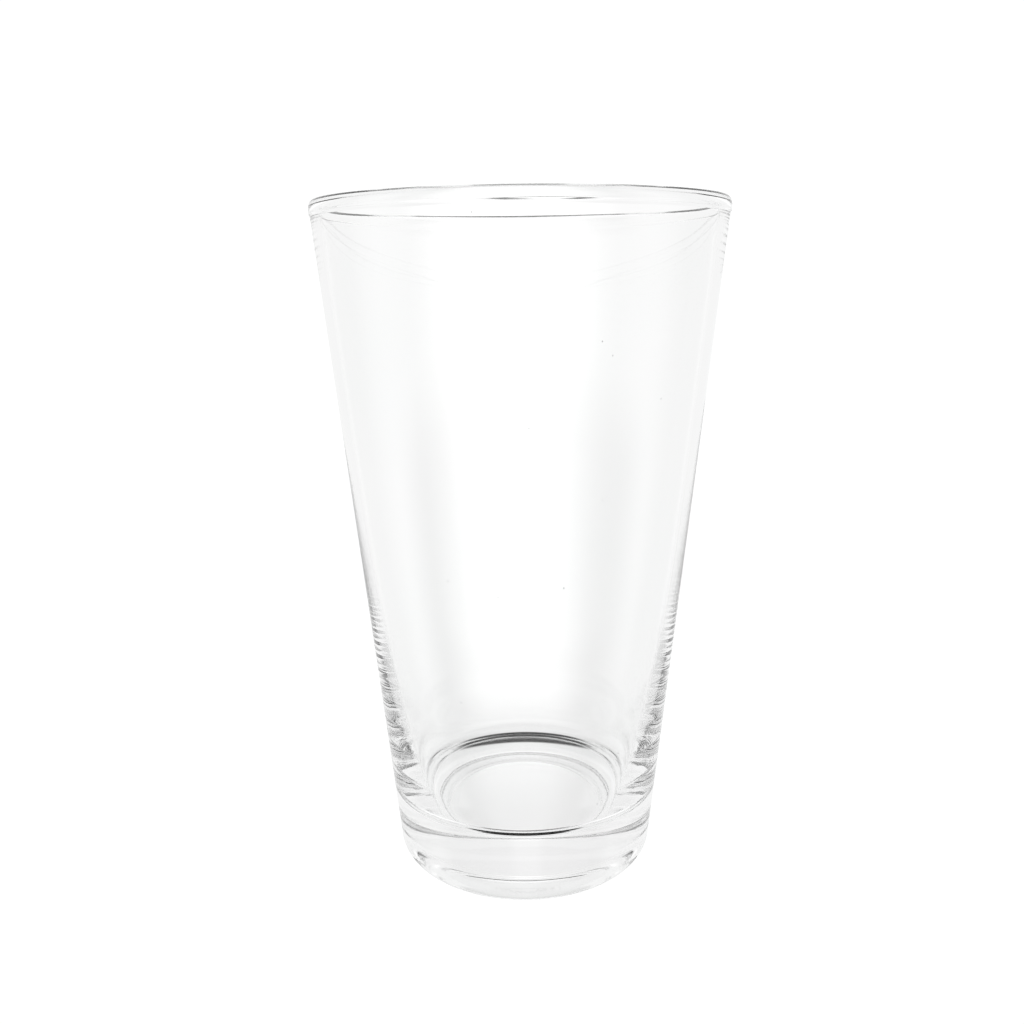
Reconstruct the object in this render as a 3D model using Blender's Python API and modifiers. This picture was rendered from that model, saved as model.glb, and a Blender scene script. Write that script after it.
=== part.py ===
"""Bar mixing glass: one piece of moulded soda-lime glass.

A heavy-based conical tumbler, turned about +Z. The origin is at the centre of
the ring that it stands on, so z = 0 is the table. Rim band, wall, thick base,
heel and foot are regions of one closed body, turned from a single profile.

Units are metres. Profile points are (radius, z).
"""

import math

import bmesh
import bpy
import numpy as np

# Outer cone
HEIGHT = 0.1490            # foot to the top of the rim
WALL_R_TOP = 0.04447       # cone carried up to the rim plane
WALL_R_BOTTOM = 0.02886    # cone carried down to the table plane
SLOPE = (WALL_R_TOP - WALL_R_BOTTOM) / HEIGHT

# Heel: elliptical rounding between the cone and the foot
HEEL_HEIGHT = 0.00480
HEEL_WIDTH = 0.00490

# Rim
BAND_PROUD = 0.00015       # how far the rim band stands out from the cone
BAND_HEIGHT = 0.0027       # from the band's lower edge to the rim plane
BAND_BLEND = 0.0007        # height over which the band runs back into the cone
RIM_ROUND_HEIGHT = 0.0023  # depth of the fire-polished rounding
RIM_WALL = 0.00190         # cone to inner wall, just under the rounding
RIM_APPROACH = 0.006       # height of the straight run from inner wall to rounding

# Floor
FLOOR_Z = 0.01540          # height where the floor's margin would meet the wall
FLOOR_R = 0.02470          # radius where the floor's margin would meet the wall
FLOOR_FILLET = 0.00440     # rounding between the floor and the wall
MARGIN_WIDTH = 0.00600     # outer part of the floor, which slopes gently inwards
MARGIN_DROP = 0.000105     # how far the margin falls over its width
MARGIN_BEND = 0.014        # rounding between the margin and the middle
FLOOR_DOME = 0.00010       # how far the floor's centre stands above its edge

# Inner wall: thickness is measured horizontally from the outer cone
WALL_UPPER = 0.00160       # thickness that the wall thins towards, going up
WALL_SETTLE = 0.02500      # height over which the extra thickness falls to 1/e
WALL_START_Z = FLOOR_Z + 0.8 * FLOOR_FILLET + 0.003
WALL_CROWDING = 1.6        # above 1 draws the rings towards the base

# Underside
FOOT_R_INNER = 0.02340     # inner edge of the flat ring that it stands on
PUSH_UP = 0.00350          # depth of the hollow under the base
PUSH_UP_WIDTH = 0.00800    # how far in from the foot ring it reaches its depth

# Mesh density
STEPS = 96                 # facets round the axis
FLOOR_SPANS = 4
BEND_SPANS = 2
FILLET_SPANS = 8
INNER_WALL_SPANS = 8
RIM_SPANS = 8
BLEND_SPANS = 3
OUTER_WALL_SPANS = 5
HEEL_SPANS = 12
PUSH_UP_SPANS = 10


def cone_r(z):
    """Radius of the outer cone at a height."""
    return WALL_R_BOTTOM + SLOPE * z


def inner_r(z):
    """Radius of the inner wall at a height: the wall thins from the base upwards."""
    extra = cone_r(FLOOR_Z) - FLOOR_R - WALL_UPPER
    return cone_r(z) - WALL_UPPER - extra * math.exp(-(z - FLOOR_Z) / WALL_SETTLE)


# Places where the rim's rounding meets the wall
ROUND_Z = HEIGHT - RIM_ROUND_HEIGHT
RIM_R_INNER = cone_r(ROUND_Z) - RIM_WALL
RIM_R_OUTER = cone_r(ROUND_Z) + BAND_PROUD

BLEND_TOP_Z = HEIGHT - BAND_HEIGHT
BLEND_BOTTOM_Z = BLEND_TOP_Z - BAND_BLEND


def rounded(before, corner, after, radius, spans):
    """Tangent arc that replaces a corner; it uses at most 0.48 of either side."""
    corner = np.array(corner)
    side_in = np.array(before) - corner
    side_out = np.array(after) - corner
    length_in, length_out = math.hypot(*side_in), math.hypot(*side_out)
    side_in /= length_in
    side_out /= length_out

    half_angle = math.acos(side_in @ side_out) / 2
    reach = min(radius / math.tan(half_angle), 0.48 * length_in, 0.48 * length_out)
    radius = reach * math.tan(half_angle)
    bisector = side_in + side_out
    centre = corner + bisector / math.hypot(*bisector) * radius / math.sin(half_angle)

    first = corner + side_in * reach - centre
    last = corner + side_out * reach - centre
    start = math.atan2(first[1], first[0])
    end = math.atan2(last[1], last[0])
    turn = (end - start + math.pi) % (2 * math.pi) - math.pi  # the shorter way round
    angles = [start + turn * i / spans for i in range(spans + 1)]
    return [
        (centre[0] + radius * math.cos(a), centre[1] + radius * math.sin(a)) for a in angles
    ]


def floor():
    """Domed middle, bend into the margin, and fillet up to the wall."""
    wall_start = (inner_r(WALL_START_Z), WALL_START_Z)
    corner = (FLOOR_R, FLOOR_Z)
    margin_edge = (FLOOR_R - MARGIN_WIDTH, FLOOR_Z - MARGIN_DROP)
    centre = (0.0, margin_edge[1])
    bend = rounded(centre, margin_edge, corner, MARGIN_BEND, BEND_SPANS)
    fillet = rounded(margin_edge, corner, wall_start, FLOOR_FILLET, FILLET_SPANS)

    middle_r, middle_z = bend[0]
    middle = []
    for i in range(FLOOR_SPANS):
        t = i / FLOOR_SPANS
        middle.append((middle_r * t, middle_z + FLOOR_DOME * (1.0 - t**2)))
    return middle + bend + fillet


def inner_wall():
    """Inner wall from the fillet up to the rounding of the rim."""
    points = []
    rise = ROUND_Z - RIM_APPROACH - WALL_START_Z
    for i in range(INNER_WALL_SPANS + 1):
        z = WALL_START_Z + rise * (i / INNER_WALL_SPANS) ** WALL_CROWDING
        points.append((inner_r(z), z))
    return points + [(RIM_R_INNER, ROUND_Z)]


def rim():
    """Half an ellipse from inside to outside, then the band's blend into the cone."""
    points = []
    middle_r = 0.5 * (RIM_R_INNER + RIM_R_OUTER)
    half_width = 0.5 * (RIM_R_OUTER - RIM_R_INNER)
    for i in range(1, RIM_SPANS + 1):
        a = math.pi * (1.0 - i / RIM_SPANS)
        r = middle_r + half_width * math.cos(a)
        points.append((r, ROUND_Z + RIM_ROUND_HEIGHT * math.sin(a)))

    for i in range(BLEND_SPANS + 1):
        t = i / BLEND_SPANS
        z = BLEND_TOP_Z - BAND_BLEND * t
        band_share = 0.5 + 0.5 * math.cos(math.pi * t)
        points.append((band_share * RIM_R_OUTER + (1.0 - band_share) * cone_r(z), z))
    return points


def outer_wall():
    """Outer cone, going down, between the rim band and the heel."""
    drop = BLEND_BOTTOM_Z - HEEL_HEIGHT
    heights = [BLEND_BOTTOM_Z - drop * i / OUTER_WALL_SPANS for i in range(1, OUTER_WALL_SPANS)]
    return [(cone_r(z), z) for z in heights]


def heel():
    """Quarter ellipse from the cone to the table, leaning with the cone at its top."""
    points = []
    foot_r_outer = cone_r(HEEL_HEIGHT) - HEEL_WIDTH
    for i in range(HEEL_SPANS + 1):
        a = 0.5 * math.pi * i / HEEL_SPANS
        z = HEEL_HEIGHT * (1.0 - math.sin(a))
        lean = SLOPE * (z - HEEL_HEIGHT) * math.cos(a)
        points.append((foot_r_outer + HEEL_WIDTH * math.cos(a) + lean, z))
    return points


def underside():
    """Hollow from the foot ring's inner edge in to the axis, flat in the middle."""
    points = []
    for i in range(PUSH_UP_SPANS + 1):
        t = i / PUSH_UP_SPANS
        points.append((FOOT_R_INNER - PUSH_UP_WIDTH * t, PUSH_UP * t * (2.0 - t)))
    return points + [(0.0, PUSH_UP)]


def clear_scene():
    for obj in list(bpy.data.objects):
        bpy.data.objects.remove(obj, do_unlink=True)


def glass_material():
    """Clear soda-lime glass."""
    mat = bpy.data.materials.new("clear_glass")
    mat.use_nodes = True
    settings = {
        "Base Color": (0.97, 0.985, 0.98, 1.0),
        "Metallic": 0.0,
        "Roughness": 0.02,
        "IOR": 1.52,
        "Transmission Weight": 1.0,
    }
    inputs = mat.node_tree.nodes["Principled BSDF"].inputs
    for name, value in settings.items():
        inputs[name].default_value = value
    return mat


def turned(name, profile, material, collection):
    """A body of revolution about Z, by the Screw modifier."""
    mesh = bpy.data.meshes.new(name)
    bm = bmesh.new()
    verts = [bm.verts.new((r, 0.0, z)) for r, z in profile]
    for pair in zip(verts, verts[1:]):
        bm.edges.new(pair)
    bm.to_mesh(mesh)
    bm.free()
    mesh.materials.append(material)

    obj = bpy.data.objects.new(name, mesh)
    collection.objects.link(obj)
    screw = obj.modifiers.new("turn", "SCREW")
    screw.axis = "Z"
    screw.angle = 2.0 * math.pi
    screw.steps = STEPS
    screw.render_steps = STEPS
    screw.use_merge_vertices = True
    screw.merge_threshold = 0.00001
    screw.use_smooth_shade = True


def main():
    clear_scene()
    collection = bpy.data.collections.new("mixing_glass")
    bpy.context.scene.collection.children.link(collection)
    # from the floor's centre over the rim to the underside's centre
    profile = floor() + inner_wall() + rim() + outer_wall() + heel() + underside()
    turned("glass_body", profile, glass_material(), collection)


main()
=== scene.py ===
# A clear mixing glass: a conical tumbler with a thick base, turned about the Z axis
# and standing at z = 0. It stands on a pale sheet inside a light tent, and the
# camera looks along +Y from the -Y side.
import math

import bpy
from mathutils import Matrix, Vector, noise


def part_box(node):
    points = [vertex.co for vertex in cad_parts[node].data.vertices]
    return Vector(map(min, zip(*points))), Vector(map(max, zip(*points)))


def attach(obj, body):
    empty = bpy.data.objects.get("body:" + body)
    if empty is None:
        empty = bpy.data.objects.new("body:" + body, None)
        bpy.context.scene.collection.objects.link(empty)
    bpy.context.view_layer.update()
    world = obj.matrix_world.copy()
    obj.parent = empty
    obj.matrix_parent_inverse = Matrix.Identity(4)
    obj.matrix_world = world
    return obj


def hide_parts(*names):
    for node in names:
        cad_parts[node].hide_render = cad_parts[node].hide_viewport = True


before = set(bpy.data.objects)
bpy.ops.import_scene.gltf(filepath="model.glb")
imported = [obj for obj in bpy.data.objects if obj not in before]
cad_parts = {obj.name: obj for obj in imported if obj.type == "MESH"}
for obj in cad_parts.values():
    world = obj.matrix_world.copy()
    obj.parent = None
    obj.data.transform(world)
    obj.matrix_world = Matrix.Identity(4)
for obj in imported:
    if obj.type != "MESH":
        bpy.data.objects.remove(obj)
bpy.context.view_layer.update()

NODE = "glass_body"

# --------------------------------------------------------------------------
# The section, in millimetres. The frame gives the height.
# --------------------------------------------------------------------------
LOW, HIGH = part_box(NODE)
HEIGHT = (HIGH[2] - LOW[2]) * 1000

WALL_R_TOP = 44.47       # outer cone at the rim plane
WALL_R_BOTTOM = 28.86    # outer cone at the table plane
WALL_SLOPE = (WALL_R_TOP - WALL_R_BOTTOM) / HEIGHT
HEEL_HEIGHT = 4.80       # rounding between the cone and the foot, an ellipse
HEEL_WIDTH = 4.90

BEAD_PROUD = 0.15        # the slight band round the outside of the rim
BEAD_HEIGHT = 2.7        # from the top down to where it starts to fade
BEAD_BLEND = 0.7         # height over which it fades into the wall
RIM_ROUND = 2.3          # height of the rim's rounding
RIM_WALL = 1.90
LIP_BLEND = 16.0         # height over which the inside runs into the rim's thickness
RIM_Z = HEIGHT - RIM_ROUND

WALL_UPPER = 1.60        # wall thickness that the wall thins towards, going up
WALL_SETTLE = 25.00      # height over which the extra thickness falls to a third
FLOOR_Z = 15.40          # where the floor's margin would meet the wall
FLOOR_R = 24.70
FLOOR_FILLET = 4.40
INNER_LOW_Z = FLOOR_Z + 0.8 * FLOOR_FILLET + 3.0   # where the inner wall starts
INNER_SPREAD = 1.4       # above 1, the inner wall's rings crowd towards the bottom
MARGIN_WIDTH = 6.0       # outer part of the floor, which slopes gently down inwards
MARGIN_DROP = 0.105
MARGIN_BEND = 14.0       # radius between the margin and the middle of the floor
FLOOR_DOME = 0.10        # how far the floor's centre stands above its edge
FOOT_R_INNER = 23.40     # inner edge of the flat ring that it stands on
PUSH_UP = 3.50           # depth of the hollow under the base
PUSH_UP_WIDTH = 8.00     # width of the hollow's curved edge

STEPS = 768              # faces round the glass

# Small departures from a true solid of revolution.
INNER_DRIFT = 0.030      # unevenness of the inner wall and floor
CALM_R = 15              # the floor's drift fades inwards from this radius
UNDER_DRIFT = 0.060      # unevenness of the edge of the hollow under the base
UNDER_DRIFT_TOP = PUSH_UP * 0.7    # height where that unevenness ends

# Gas seeds in the wall: azimuth in degrees, height, share of the size.
SEED_SIZE = 0.26
SEED_STRETCH = 1.35      # their height over their width
SEEDS = (
    (-68.8, 121.5, 1.0), (-65.6, 118.8, 0.8), (-88.2, 105.7, 0.7), (-66.1, 91.0, 0.7),
    (-47.6, 109.9, 0.8), (-114.4, 74.6, 0.8), (-77.3, 73.6, 1.0), (-98.0, 71.9, 0.7),
    (-113.0, 48.1, 0.8), (-144.2, 43.7, 0.7), (-59.1, 22.9, 0.9), (-50.9, 33.9, 1.0),
    (-101.4, 144.4, 0.8), (-99.1, 144.2, 0.6),
)

# --------------------------------------------------------------------------
# The material
# --------------------------------------------------------------------------
GLASS_IOR = 1.52
TINT = (0.992, 0.996, 0.994, 1)    # the faint green of the tinted clouds
CLEAR = (1.0, 1.0, 1.0, 1)
CLOUD_SCALE, CLOUD_DETAIL = 22.0, 3.0
CLOUD_RAMP = (0.35, 0.65, 0.0, 1.0)     # noise to share of CLEAR, as the ramps below

# --------------------------------------------------------------------------
# The light. Brightness 1 is paper white. A ramp holds where it starts and ends,
# then its values there.
# --------------------------------------------------------------------------
WHITE = (1, 1, 1, 1)
PAPER = 1.06             # floor and backdrop as the camera sees them
TENT = 0.925             # ahead of the camera, away from the middle

# by the sine of the angle to either side of straight ahead
BAND = (0.15, 0.24, 0.065, 0.0)         # a broad brighter band in the middle
STRIP = (0.035, 0.12, 0.19, 0.0)        # and a narrow one inside it
# by the cosine of the angle from straight ahead
SIDES = (-0.45, 0.0, 0.0, 1.0)          # where the tent ends on the camera's side
# by the sine of the slope, up or down
BAND_STEEP = (0.42, 0.55, 1.0, 0.3)     # band and strip fade both ways
BEHIND = (0.24, 0.36, 0.8, 0.02)        # the level band behind the camera
OVERHEAD = (0.50, 0.75, 0.0, 0.8)       # the camera's tilt that lights the tent and lifts the table's painted shade
# by the sine of the slope upwards
BAND_UP = (0.1, 0.4, 1.0, 0.4)          # band and strip also fade upwards
ROOF = (0.68, 0.80, 0.0, 0.8)           # the roof behind the camera
TABLE_STEEP_PAINTED_SHADE = (0.86, 0.91, 1.0, 0.0)    # painted shade: the floor's glow goes dark for rays that look steeply down on it, for the shade close under the heel

MIN_LEVEL_SQUARED = 0.0004    # keeps the level part of a direction off zero
UNDER_GLASS_PAINTED_SHADOW = 0.97            # painted shadow: the floor's glow dimmed close under the base
PAINTED_SHADOW_WIDTH = 0.008          # metres from the foot over which that painted shadow ends

FLOOR_HALF = 3.0              # half the sheet's width, metres
FLOOR_CELLS = 24
FLOOR_GAP = 0.00008           # metres between the sheet and the foot

# --------------------------------------------------------------------------
# The camera: lens in mm on its sensor, angles in degrees, place in heights of the
# glass. It is about a quarter of a metre away, a little below the rim.
# --------------------------------------------------------------------------
CAMERA_SENSOR = 36
CAMERA_LENS = 37.97
CAMERA_CLIP = 0.005           # metres
CAMERA_PITCH, CAMERA_YAW, CAMERA_ROLL = 12.25, 0.409, -0.61
CAMERA_AT = (-0.0042, -1.6009, 0.8932)


# --------------------------------------------------------------------------
# The section
# --------------------------------------------------------------------------
def cone(z):
    """Outer radius of the plain conical wall at height z."""
    return WALL_R_BOTTOM + (WALL_R_TOP - WALL_R_BOTTOM) * z / HEIGHT


FOOT_R_OUTER = cone(HEEL_HEIGHT) - HEEL_WIDTH


def inner_wall(z):
    """Radius of the inner wall at height z: the wall thins from the base upwards."""
    extra = cone(FLOOR_Z) - FLOOR_R - WALL_UPPER
    return cone(z) - WALL_UPPER - extra * math.exp(-(z - FLOOR_Z) / WALL_SETTLE)


def smoothstep(t):
    return t * t * (3 - 2 * t)


def mix(start, end, share):
    return start * (1 - share) + end * share


def rounded(before, corner, after, radius, steps):
    """The corner between two points turned into a tangent arc."""
    before, corner, after = Vector(before), Vector(corner), Vector(after)
    back, ahead = before - corner, after - corner
    back_length, ahead_length = back.length, ahead.length
    back, ahead = back / back_length, ahead / ahead_length
    angle = math.acos(max(-1.0, min(1.0, back.dot(ahead))))
    # the arc uses less than half of either side
    reach = min(radius / math.tan(angle / 2), 0.48 * back_length, 0.48 * ahead_length)
    radius = reach * math.tan(angle / 2)
    centre = corner + (back + ahead).normalized() * (radius / math.sin(angle / 2))
    first, last = corner + back * reach - centre, corner + ahead * reach - centre
    start = math.atan2(first.y, first.x)
    turn = (math.atan2(last.y, last.x) - start + math.pi) % (2 * math.pi) - math.pi
    angles = [start + turn * k / steps for k in range(steps + 1)]
    return [centre + radius * Vector((math.cos(a), math.sin(a))) for a in angles]


def floor_section(flat_steps=20, bend_steps=12, fillet_steps=40):
    """The drinking floor from its middle, its margin and its corner with the wall."""
    corner = (FLOOR_R, FLOOR_Z)
    edge = (FLOOR_R - MARGIN_WIDTH, FLOOR_Z - MARGIN_DROP)
    wall = (inner_wall(INNER_LOW_Z), INNER_LOW_Z)
    fillet = rounded(wall, corner, edge, FLOOR_FILLET, fillet_steps)[::-1]
    bend = rounded(corner, edge, (0, edge[1]), MARGIN_BEND, bend_steps)[::-1]
    flat_r, flat_z = bend[0]
    points = []
    for k in range(flat_steps):
        rise = FLOOR_DOME * (1 - (k / flat_steps) ** 2)
        points.append((flat_r * k / flat_steps, flat_z + rise))
    return points + [(p.x, p.y) for p in bend + fillet]


def inner_section(wall_points=80, lip_steps=16):
    """The inner wall, then the lip, where it runs into the rim's own thickness."""
    points = []
    span = RIM_Z - LIP_BLEND - INNER_LOW_Z
    for k in range(wall_points):
        z = INNER_LOW_Z + span * (k / (wall_points - 1)) ** INNER_SPREAD
        points.append((inner_wall(z), z))
    for k in range(1, lip_steps + 1):
        t = k / lip_steps
        z = RIM_Z - LIP_BLEND * (1 - t)
        points.append((mix(inner_wall(z), cone(z) - RIM_WALL, smoothstep(t)), z))
    return points


def rim_section(round_steps=24, blend_steps=12):
    """The fire-polished rim, half an ellipse, and the band that fades into the wall."""
    inner_top = cone(RIM_Z) - RIM_WALL
    outer_top = cone(RIM_Z) + BEAD_PROUD
    middle, half = (inner_top + outer_top) / 2, (outer_top - inner_top) / 2
    points = []
    for k in range(1, round_steps + 1):
        angle = math.pi * (1 - k / round_steps)
        rise = RIM_ROUND * math.sin(angle)
        lean = WALL_SLOPE * rise * abs(math.cos(angle))
        points.append((middle + half * math.cos(angle) + lean, RIM_Z + rise))
    for k in range(blend_steps + 1):
        z = HEIGHT - BEAD_HEIGHT - BEAD_BLEND * k / blend_steps
        points.append((mix(cone(z), outer_top, 1 - smoothstep(k / blend_steps)), z))
    return points


def outer_section(top_z, wall_steps=70, heel_steps=48, foot_steps=8):
    """The outer wall down from top_z, the heel and the flat foot ring."""
    points = []
    for k in range(1, wall_steps):
        z = top_z + (HEEL_HEIGHT - top_z) * k / wall_steps
        points.append((cone(z), z))
    for k in range(heel_steps + 1):
        angle = math.pi / 2 * k / heel_steps
        z = HEEL_HEIGHT * (1 - math.sin(angle))
        lean = WALL_SLOPE * (z - HEEL_HEIGHT) * math.cos(angle)
        points.append((FOOT_R_OUTER + HEEL_WIDTH * math.cos(angle) + lean, z))
    for k in range(1, foot_steps + 1):
        points.append((FOOT_R_OUTER + (FOOT_R_INNER - FOOT_R_OUTER) * k / foot_steps, 0.0))
    return points


def under_section(steps=24):
    """The hollow under the base: its curved edge, then its flat middle."""
    shares = [k / steps for k in range(1, steps + 1)]
    edge = [(FOOT_R_INNER - PUSH_UP_WIDTH * t, PUSH_UP * t * (2 - t)) for t in shares]
    return edge + [((FOOT_R_INNER - PUSH_UP_WIDTH) * (1 - t), PUSH_UP) for t in shares]


def glass_profile():
    """The whole section from the middle of the floor, up the inside, over the rim,
    down the outside and across the underside, as (radius, height, part)."""
    rim = rim_section()
    sections = (
        ("inside", floor_section() + inner_section()),
        ("outside", rim + outer_section(top_z=rim[-1][1])),
        ("under", under_section()),
    )
    return [(radius, z, part) for part, points in sections for radius, z in points]


# --------------------------------------------------------------------------
# The meshes
# --------------------------------------------------------------------------
def drift(radius, z, angle, part):
    """How far the pressed glass strays from its true radius."""
    x, y = math.cos(angle), math.sin(angle)
    if part == "inside":
        broad = noise.noise(Vector((1.7 * x, 1.7 * y, 0.012 * z)))
        fine = noise.noise(Vector((6 * x, 6 * y, 0.015 * z + 9)))
        return INNER_DRIFT * (broad + 0.2 * fine) * min(1.0, radius / CALM_R)
    if part == "under" and z < UNDER_DRIFT_TOP:
        edge = noise.noise(Vector((24 * x, 24 * y, 3.0)))
        return UNDER_DRIFT * edge * math.sin(math.pi * z / UNDER_DRIFT_TOP)
    return 0.0


def lathe(profile, steps):
    """Vertices and faces of the profile turned about Z, with its drift."""
    verts, rings = [], []
    for radius, z, part in profile:
        first = len(verts)
        if radius < 1e-6:
            verts.append((0.0, 0.0, z / 1000))
        else:
            for k in range(steps):
                angle = 2 * math.pi * k / steps
                r = radius + drift(radius, z, angle, part)
                verts.append((r * math.cos(angle) / 1000, r * math.sin(angle) / 1000, z / 1000))
        rings.append(range(first, len(verts)))
    faces = []
    for ring, after in zip(rings, rings[1:]):
        for k in range(steps):
            n = (k + 1) % steps
            if len(ring) == 1:
                faces.append((ring[0], after[k], after[n]))
            elif len(after) == 1:
                faces.append((ring[n], ring[k], after[0]))
            else:
                faces.append((ring[n], ring[k], after[k], after[n]))
    return verts, faces


def add_seed(verts, faces, azimuth, z, share, around=10, rows=6):
    """A tiny gas seed mid-wall: a closed void, so its faces look inwards."""
    angle = math.radians(azimuth)
    wall_middle = (cone(z) + inner_wall(z)) / 2
    centre = Vector((wall_middle * math.cos(angle), wall_middle * math.sin(angle), z)) / 1000
    radius = SEED_SIZE * share / 2000
    pole = Vector((0, 0, SEED_STRETCH * radius))
    first = len(verts)
    verts.append(tuple(centre + pole))
    for i in range(1, rows):
        tilt = math.pi * i / rows
        for k in range(around):
            turn = 2 * math.pi * k / around
            verts.append(tuple(centre + radius * Vector((
                math.sin(tilt) * math.cos(turn),
                math.sin(tilt) * math.sin(turn),
                SEED_STRETCH * math.cos(tilt)))))
    last = len(verts)
    verts.append(tuple(centre - pole))
    for k in range(around):
        n = (k + 1) % around
        faces.append((first, first + 1 + n, first + 1 + k))
        for i in range(rows - 2):
            upper = first + 1 + i * around
            lower = upper + around
            faces.append((upper + k, upper + n, lower + n, lower + k))
        faces.append((last, last - around + k, last - around + n))


def new_object(name, verts, faces):
    mesh = bpy.data.meshes.new(name)
    mesh.from_pydata(verts, [], faces)
    obj = bpy.data.objects.new(name, mesh)
    bpy.context.scene.collection.objects.link(obj)
    return obj


def glass_piece():
    verts, faces = lathe(glass_profile(), STEPS)
    for azimuth, z, share in SEEDS:
        add_seed(verts, faces, azimuth, z, share)
    obj = new_object("mixing_glass", verts, faces)
    obj.data.validate()
    obj.data.shade_smooth()
    obj.data.update()
    obj.data.materials.append(glass_material())
    return obj


def floor_piece():
    """A wide pale sheet under the glass."""
    marks = [FLOOR_HALF * (2 * i / FLOOR_CELLS - 1) for i in range(FLOOR_CELLS + 1)]
    verts = [(x, y, LOW[2] - FLOOR_GAP) for y in marks for x in marks]
    row = len(marks)
    faces = []
    for j in range(FLOOR_CELLS):
        for i in range(FLOOR_CELLS):
            a = j * row + i
            faces.append((a, a + 1, a + row + 1, a + row))
    obj = new_object("floor", verts, faces)
    obj.data.materials.append(floor_material())
    return obj


# --------------------------------------------------------------------------
# The shaders
# --------------------------------------------------------------------------
class Nodes:
    """Builds the node tree of a material or world as formulas."""

    def __init__(self, owner):
        owner.use_nodes = True
        self.tree = owner.node_tree
        self.tree.nodes.clear()

    def new(self, kind, *inputs, **props):
        """A node with its properties and its first inputs, each a value or a link."""
        node = self.tree.nodes.new(kind)
        for key, value in props.items():
            setattr(node, key, value)
        for socket, value in zip(node.inputs, inputs):
            if isinstance(value, (int, float, tuple)):
                socket.default_value = value
            else:
                self.tree.links.new(value, socket)
        return node

    def math(self, op, *inputs):
        return self.new("ShaderNodeMath", *inputs, operation=op).outputs[0]

    def vector(self, op, *inputs):
        node = self.new("ShaderNodeVectorMath", *inputs, operation=op)
        return node.outputs["Value" if op in ("DOT_PRODUCT", "LENGTH") else 0]

    def height(self, vector):
        """The Z part of a vector."""
        return self.new("ShaderNodeSeparateXYZ", vector).outputs[2]

    def ramp(self, value, start, end, low, high):
        """Smooth change from low to high as value goes from start to end."""
        return self.new("ShaderNodeMapRange", value, start, end, low, high,
                        interpolation_type="SMOOTHSTEP").outputs[0]

    def mix(self, share, full, empty):
        """full where share is 1, empty where it is 0."""
        return self.math("ADD", self.math("MULTIPLY", share, full),
                         self.math("MULTIPLY", self.math("SUBTRACT", 1.0, share), empty))

    def view(self):
        """The camera's direction of view, in world space."""
        return self.new("ShaderNodeVectorTransform", (0, 0, 1), vector_type="VECTOR",
                        convert_from="CAMERA", convert_to="WORLD").outputs[0]

    def overhead(self):
        """0 when the camera looks across, rising as it looks steeply down or up."""
        return self.ramp(self.math("ABSOLUTE", self.height(self.view())), *OVERHEAD)


def surroundings(nodes, direction):
    """How bright the light tent is along a direction, for light that has gone
    through or off the glass. The tent faces the camera, whitest straight ahead.
    Behind the camera a level band and the roof are lit. For a camera looking
    steeply down or up, the lit front reaches most of the way round."""
    forward = nodes.vector("NORMALIZE", nodes.vector("MULTIPLY", nodes.view(), (1, 1, 0)))
    right = nodes.vector("CROSS_PRODUCT", forward, (0, 0, 1))
    up = nodes.height(direction)
    level_squared = nodes.math("SUBTRACT", 1.0, nodes.math("MULTIPLY", up, up))
    level = nodes.math("SQRT", nodes.math("MAXIMUM", level_squared, MIN_LEVEL_SQUARED))
    ahead = nodes.math("DIVIDE", nodes.vector("DOT_PRODUCT", direction, forward), level)
    rightward = nodes.math("DIVIDE", nodes.vector("DOT_PRODUCT", direction, right), level)
    aside = nodes.math("ABSOLUTE", rightward)
    steep = nodes.math("ABSOLUTE", up)

    behind = nodes.math("ADD", nodes.ramp(steep, *BEHIND), nodes.ramp(up, *ROOF))
    fade = nodes.math("MULTIPLY", nodes.ramp(steep, *BAND_STEEP), nodes.ramp(up, *BAND_UP))
    middle = nodes.math("ADD", nodes.ramp(aside, *BAND), nodes.ramp(aside, *STRIP))
    front = nodes.math("ADD", TENT, nodes.math("MULTIPLY", middle, fade))
    share = nodes.math("MAXIMUM", nodes.ramp(ahead, *SIDES), nodes.overhead())
    return nodes.mix(share, front, behind)


def paper_or(nodes, light):
    """Paper white for the camera itself, light for all other rays."""
    camera_ray = nodes.new("ShaderNodeLightPath").outputs["Is Camera Ray"]
    return nodes.mix(camera_ray, PAPER, light)


def glass_material():
    material = bpy.data.materials.new("clear_glass")
    nodes = Nodes(material)
    cloud = nodes.new("ShaderNodeTexNoise", nodes.new("ShaderNodeTexCoord").outputs["Object"])
    cloud.inputs["Scale"].default_value = CLOUD_SCALE
    cloud.inputs["Detail"].default_value = CLOUD_DETAIL
    tint = nodes.new("ShaderNodeMix", nodes.ramp(cloud.outputs[0], *CLOUD_RAMP),
                     data_type="RGBA")
    # sockets 6 and 7 are the colours A and B, output 2 is the mixed colour
    tint.inputs[6].default_value = TINT
    tint.inputs[7].default_value = CLEAR
    glass_shader = nodes.new("ShaderNodeBsdfPrincipled", tint.outputs[2])
    glass_shader.inputs["Transmission Weight"].default_value = 1.0
    glass_shader.inputs["IOR"].default_value = GLASS_IOR
    glass_shader.inputs["Roughness"].default_value = 0.0
    nodes.new("ShaderNodeOutputMaterial", glass_shader.outputs[0])
    return material


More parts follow.
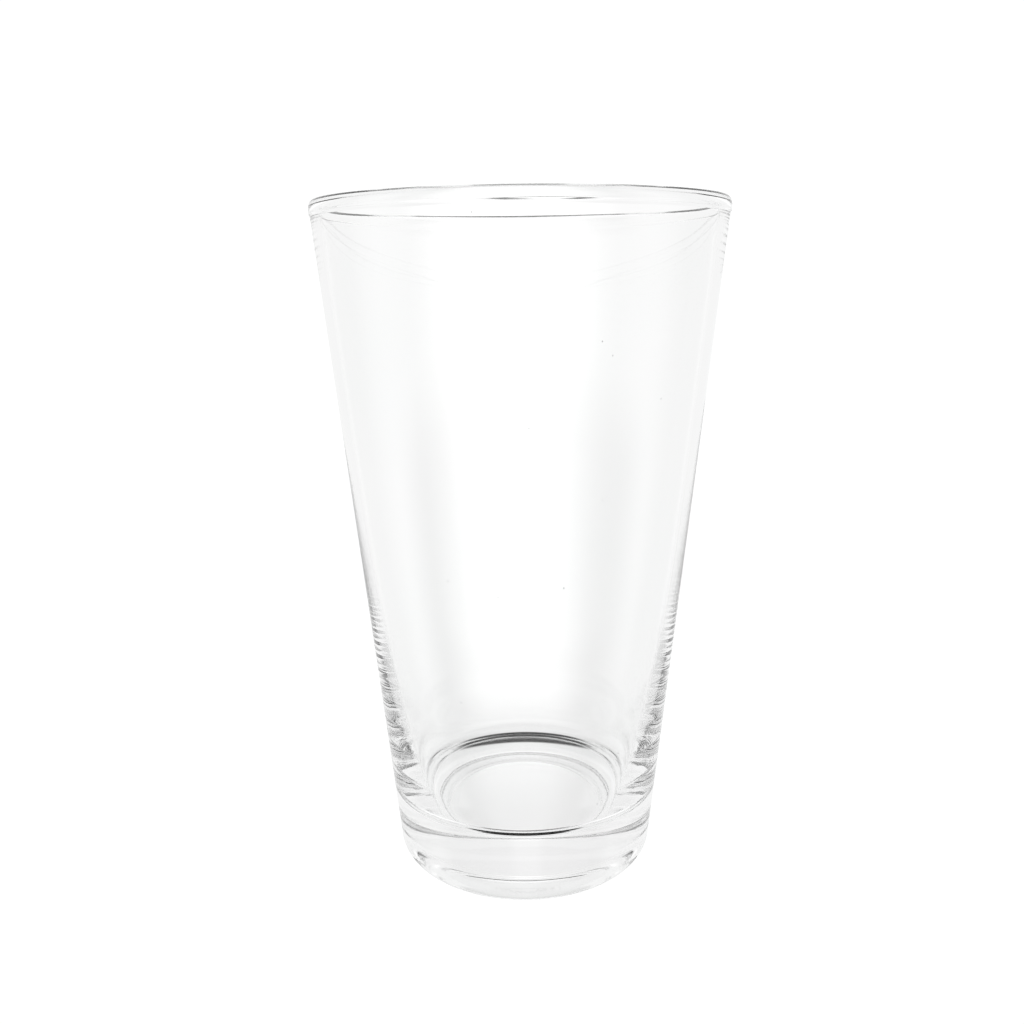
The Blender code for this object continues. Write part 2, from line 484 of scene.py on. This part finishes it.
def floor_material():
    """Glows as the tent would light it, as painted light, with painted shade where it is seen
    steeply and a painted shadow close round the foot.
    """
    material = bpy.data.materials.new("pale_floor")
    nodes = Nodes(material)
    geometry = nodes.new("ShaderNodeNewGeometry").outputs
    incoming = geometry["Incoming"]
    direction = nodes.vector("MULTIPLY", incoming, (-1, -1, -1))
    # painted shade: the floor goes dark for rays arriving steeply, unless the camera itself
    # looks steeply down or up
    lit = nodes.math("MAXIMUM", nodes.ramp(nodes.height(incoming), *TABLE_STEEP_PAINTED_SHADE),
                     nodes.overhead())
    light = nodes.math("MULTIPLY", surroundings(nodes, direction), lit)
    from_axis = nodes.vector("LENGTH", nodes.vector("MULTIPLY", geometry["Position"], (1, 1, 0)))
    foot = FOOT_R_OUTER / 1000
    # painted shadow: the floor's glow is dimmed in a soft ring close round the foot
    painted_shadow = nodes.ramp(from_axis, foot, foot + PAINTED_SHADOW_WIDTH, UNDER_GLASS_PAINTED_SHADOW, 1.0)
    light = nodes.math("MULTIPLY", light, painted_shadow)
    glow = nodes.new("ShaderNodeEmission", WHITE, paper_or(nodes, light))
    nodes.new("ShaderNodeOutputMaterial", glow.outputs[0])
    return material


def studio():
    """Soft light from all round, as from a light tent."""
    world = bpy.data.worlds.new("studio")
    nodes = Nodes(world)
    generated = nodes.new("ShaderNodeTexCoord").outputs["Generated"]
    light = surroundings(nodes, nodes.vector("NORMALIZE", generated))
    back = nodes.new("ShaderNodeBackground", WHITE, paper_or(nodes, light))
    nodes.new("ShaderNodeOutputWorld", back.outputs[0])
    return world


def add_camera(scene):
    camera = bpy.data.objects.new("camera", bpy.data.cameras.new("camera"))
    scene.collection.objects.link(camera)
    scene.camera = camera
    camera.data.sensor_width = CAMERA_SENSOR
    camera.data.lens = CAMERA_LENS
    camera.data.clip_start = CAMERA_CLIP
    turn = (Matrix.Rotation(math.radians(CAMERA_YAW), 4, "Z")
            @ Matrix.Rotation(math.radians(90 - CAMERA_PITCH), 4, "X")
            @ Matrix.Rotation(math.radians(CAMERA_ROLL), 4, "Z"))
    height = HEIGHT / 1000
    place = [share * height for share in CAMERA_AT]
    camera.matrix_world = Matrix.Translation(place) @ turn


def render_settings(scene):
    """Enough bounces, with caustics, for light to find its way through the glass."""
    scene.view_settings.view_transform = "Standard"
    cycles = scene.cycles
    cycles.max_bounces = 96
    cycles.transmission_bounces = 96
    cycles.glossy_bounces = 48
    cycles.transparent_max_bounces = 16
    cycles.caustics_reflective = True
    cycles.caustics_refractive = True
    cycles.sample_clamp_indirect = 0


glass = glass_piece()
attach(glass, "root")
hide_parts(NODE)

floor = floor_piece()

scene = bpy.context.scene
scene.world = studio()
add_camera(scene)
render_settings(scene)
